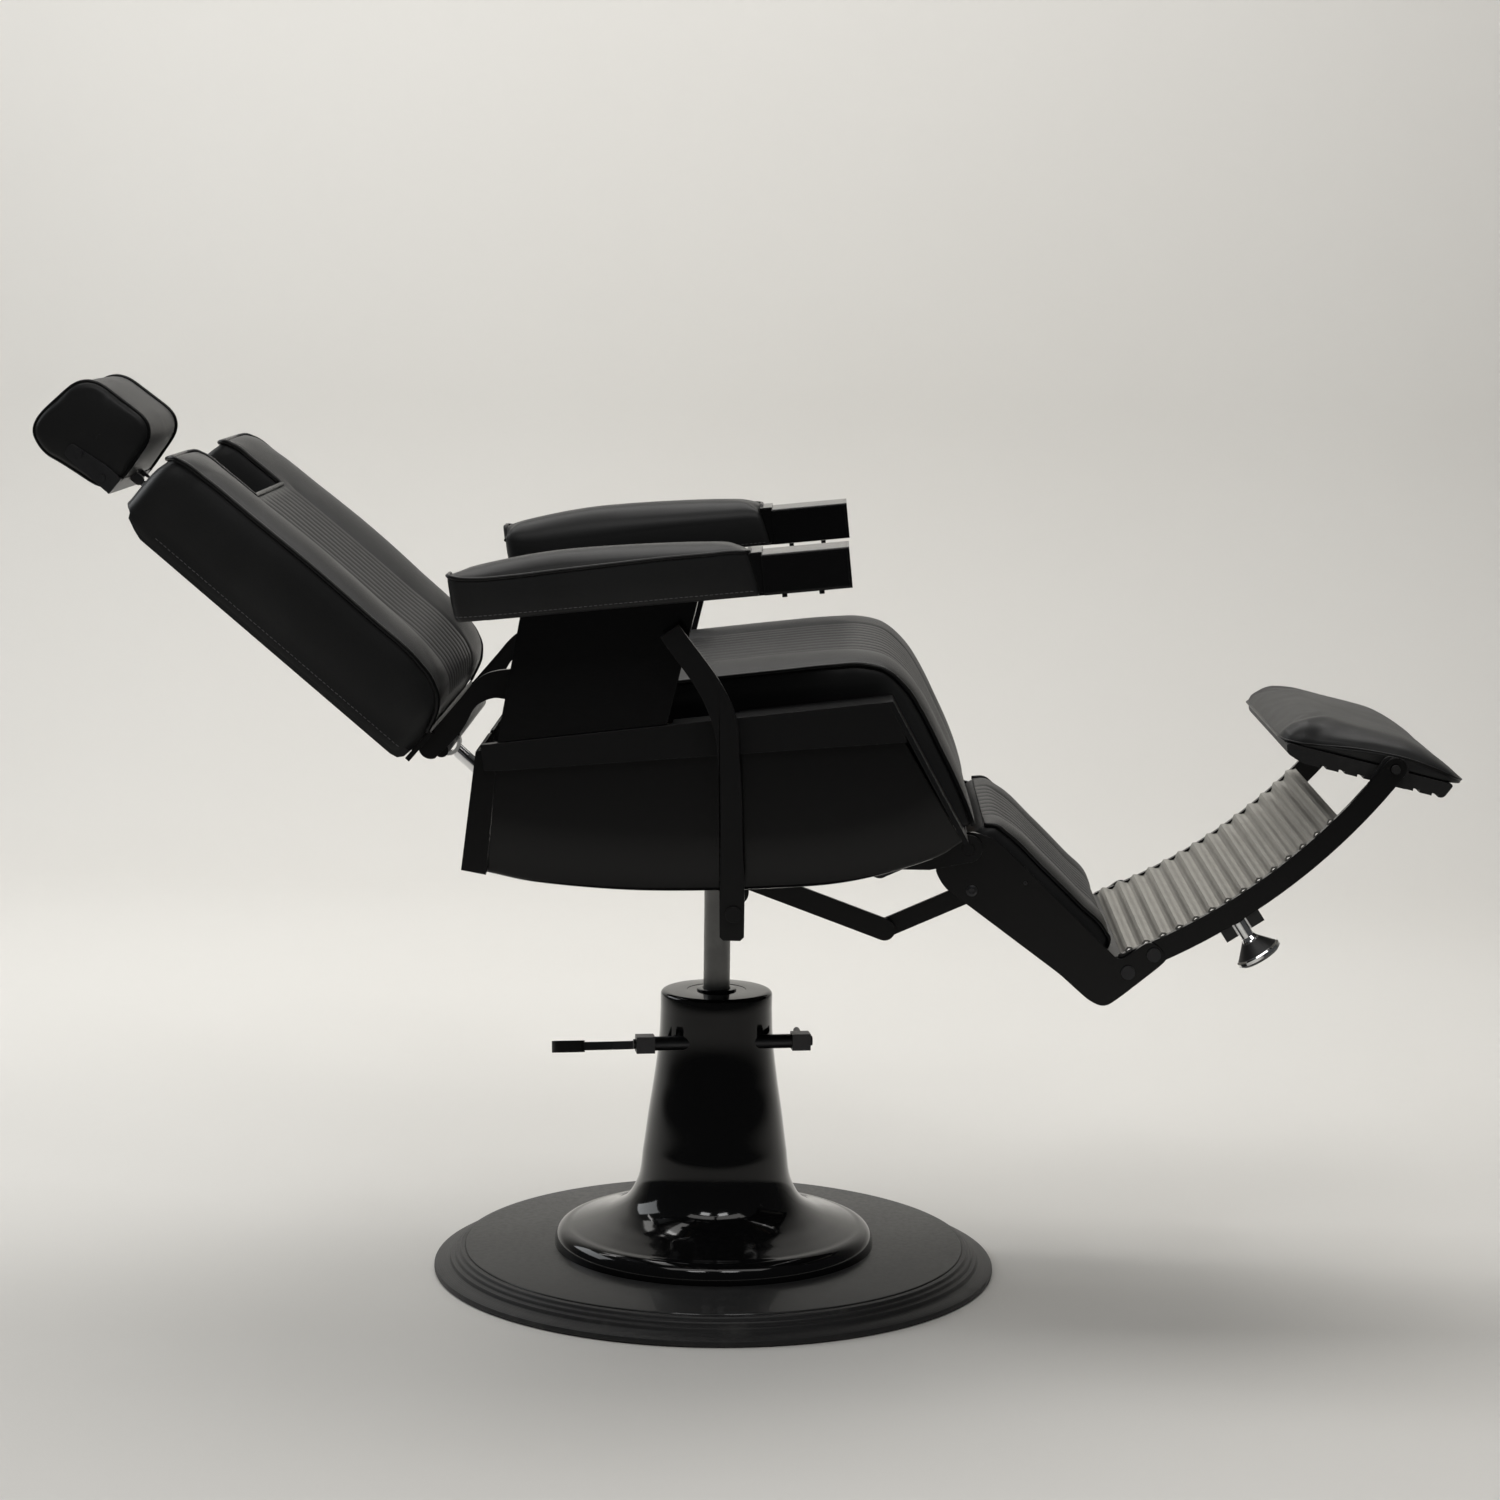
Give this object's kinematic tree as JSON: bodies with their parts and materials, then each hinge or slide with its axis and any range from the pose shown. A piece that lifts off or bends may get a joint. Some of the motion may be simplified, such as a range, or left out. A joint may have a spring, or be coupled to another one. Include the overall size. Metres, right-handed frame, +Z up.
{
  "type": "barber chair",
  "caption": "Hydraulic barber chair with linked reclining back and legrest, flip-over foot pad, sliding headrest and round pump base.",
  "frame": {"origin": "centre of the base on the floor, on the swivel's axis", "axes": "+X towards the chair's front, +Y towards the chair's left-hand side, +Z up"},
  "size_m": [1.6546, 0.767, 1.0667],
  "materials": {
    "rubber_ring": "matt moulded black rubber",
    "base_black": "satin black powder coat",
    "pedestal_black": "high gloss black enamel",
    "shell_black": "gloss black moulded shell",
    "arm_black": "gloss black paint",
    "rail_black": "satin black paint",
    "cap_black": "matt black moulding",
    "vinyl_black": "black vinyl with a fine grain",
    "tread_rubber": "black moulded tread",
    "ram_steel": "ground and polished steel",
    "kick_steel": "pressed corrugated sheet, satin",
    "hardware": "zinc plated steel",
    "screw_black": "blackened screw heads",
    "bumper_chrome": "bright plated stem and rim",
    "cylinder_black": "black enamelled tube",
    "board_wood": "plain plywood, hidden"
  },
  "bodies": {
    "base": {"floor_ring": "rubber_ring", "base_plate": "base_black", "pump_foot": "base_black", "pedestal": "pedestal_black", "pump_cylinder": "hardware", "ram_bush": "pedestal_black", "base_bolts": "hardware"},
    "pump_lever": {"pump_shaft": "rail_black", "pump_pedal": "rail_black", "pedal_pad": "tread_rubber"},
    "ram": {"ram": "ram_steel"},
    "chair": {"swivel_hub": "base_black", "frame_pan": "base_black", "frame_side_right": "base_black", "frame_side_left": "base_black", "cross_tubes": "base_black", "seat_board": "board_wood", "seat_cushion": "vinyl_black", "housing_right": "shell_black", "housing_left": "shell_black", "rear_cap": "shell_black", "belt_rail_right": "rail_black", "belt_rail_left": "rail_black", "arm_pillar_right": "arm_black", "arm_pillar_left": "arm_black", "arm_box_right": "arm_black", "arm_box_left": "arm_black", "arm_end_caps": "cap_black", "arm_pad_right": "vinyl_black", "arm_pad_left": "vinyl_black", "pivot_pins": "hardware", "cylinder_bracket": "base_black"},
    "recline_lever": {"recline_lever": "rail_black", "lever_axle": "hardware"},
    "cylinder": {"cylinder_barrel": "cylinder_black"},
    "rod": {"recline_rod": "ram_steel"},
    "backrest": {"back_neck_right": "arm_black", "back_neck_left": "arm_black", "recline_shaft": "hardware", "back_frame": "base_black", "back_shell": "vinyl_black", "back_cushion": "vinyl_black", "headrest_sleeve": "hardware"},
    "headrest_slide": {"headrest_post": "ram_steel"},
    "headrest": {"headrest_bracket": "rail_black", "headrest_pad": "vinyl_black", "headrest_screws": "screw_black"},
    "rocker": {"sync_rocker": "base_black"},
    "sync_link": {"sync_links": "base_black"},
    "push_link": {"push_links": "base_black"},
    "legrest": {"legrest_plate_right": "arm_black", "legrest_plate_left": "arm_black", "legrest_frame": "base_black", "calf_pad": "vinyl_black", "foot_bars": "arm_black", "kick_plate": "kick_steel", "legrest_bolts": "screw_black", "bumper": "bumper_chrome"},
    "foot_pad": {"foot_shell": "tread_rubber", "foot_cushion": "vinyl_black"}
  },
  "joints": [
    {"name": "lift", "type": "slide", "parent": "base", "child": "ram", "axis": [0, 0, 1], "range_m": [-0.15, 0]},
    {"name": "swivel", "type": "hinge", "parent": "ram", "child": "chair", "pos_m": [0, 0, 0.52], "axis": [0, 0, 1], "continuous": true},
    {"name": "pump_stroke", "type": "hinge", "parent": "base", "child": "pump_lever", "pos_m": [0.00787, -0.04705, 0.287], "axis": [0.9863, 0.165, 0], "range_deg": [-18, 0], "stiffness_Nm_per_rad": 6, "springref_deg": 6.88},
    {"name": "recline_lever_pull", "type": "hinge", "parent": "chair", "child": "recline_lever", "pos_m": [0.028, -0.28, 0.5], "axis": [0, 1, 0], "range_deg": [-15, 0], "stiffness_Nm_per_rad": 12, "springref_deg": 5.73},
    {"name": "recline", "type": "hinge", "parent": "chair", "child": "backrest", "pos_m": [-0.196, 0, 0.737], "axis": [0, 1, 0], "range_deg": [0, 36]},
    {"name": "rocker_turn", "type": "hinge", "parent": "chair", "child": "rocker", "pos_m": [0.02, 0, 0.523], "axis": [0, 1, 0], "range_deg": [0, 10.1]},
    {"name": "sync_turn", "type": "hinge", "parent": "rocker", "child": "sync_link", "pos_m": [0.01268, 0, 0.62774], "axis": [0, 1, 0], "range_deg": [-10.3, 0]},
    {"name": "push_turn", "type": "hinge", "parent": "rocker", "child": "push_link", "pos_m": [0.198, 0, 0.458], "axis": [0, 1, 0], "range_deg": [-32.6, 0]},
    {"name": "legrest_fold", "type": "hinge", "parent": "chair", "child": "legrest", "pos_m": [0.292, 0, 0.555], "axis": [0, 1, 0], "range_deg": [0, 45.1]},
    {"name": "cylinder_turn", "type": "hinge", "parent": "chair", "child": "cylinder", "pos_m": [-0.168, -0.15, 0.535], "axis": [0, 1, 0], "range_deg": [0, 9.7]},
    {"name": "rod_travel", "type": "slide", "parent": "cylinder", "child": "rod", "axis": [-0.7497, 0, 0.6618], "range_m": [0, 0.078]},
    {"name": "headrest_height", "type": "slide", "parent": "backrest", "child": "headrest_slide", "axis": [-0.7627, 0, 0.6468], "range_m": [-0.1, 0.04]},
    {"name": "headrest_tilt", "type": "hinge", "parent": "headrest_slide", "child": "headrest", "pos_m": [-0.69115, 0, 0.9491], "axis": [0, 1, 0], "range_deg": [-20, 20]},
    {"name": "foot_pad_flip", "type": "hinge", "parent": "legrest", "child": "foot_pad", "pos_m": [0.77604, 0, 0.65226], "axis": [0, 1, 0], "range_deg": [0, 100]}
  ],
  "couplings": [
    {"joint": "rocker_turn", "follows": "recline", "ratio": 0.279},
    {"joint": "sync_turn", "follows": "recline", "ratio": -0.2825},
    {"joint": "push_turn", "follows": "recline", "ratio": -0.9008},
    {"joint": "legrest_fold", "follows": "recline", "ratio": 1.25},
    {"joint": "cylinder_turn", "follows": "recline", "ratio": 0.265},
    {"joint": "rod_travel", "follows": "recline", "m_per_rad": 0.12319}
  ]
}
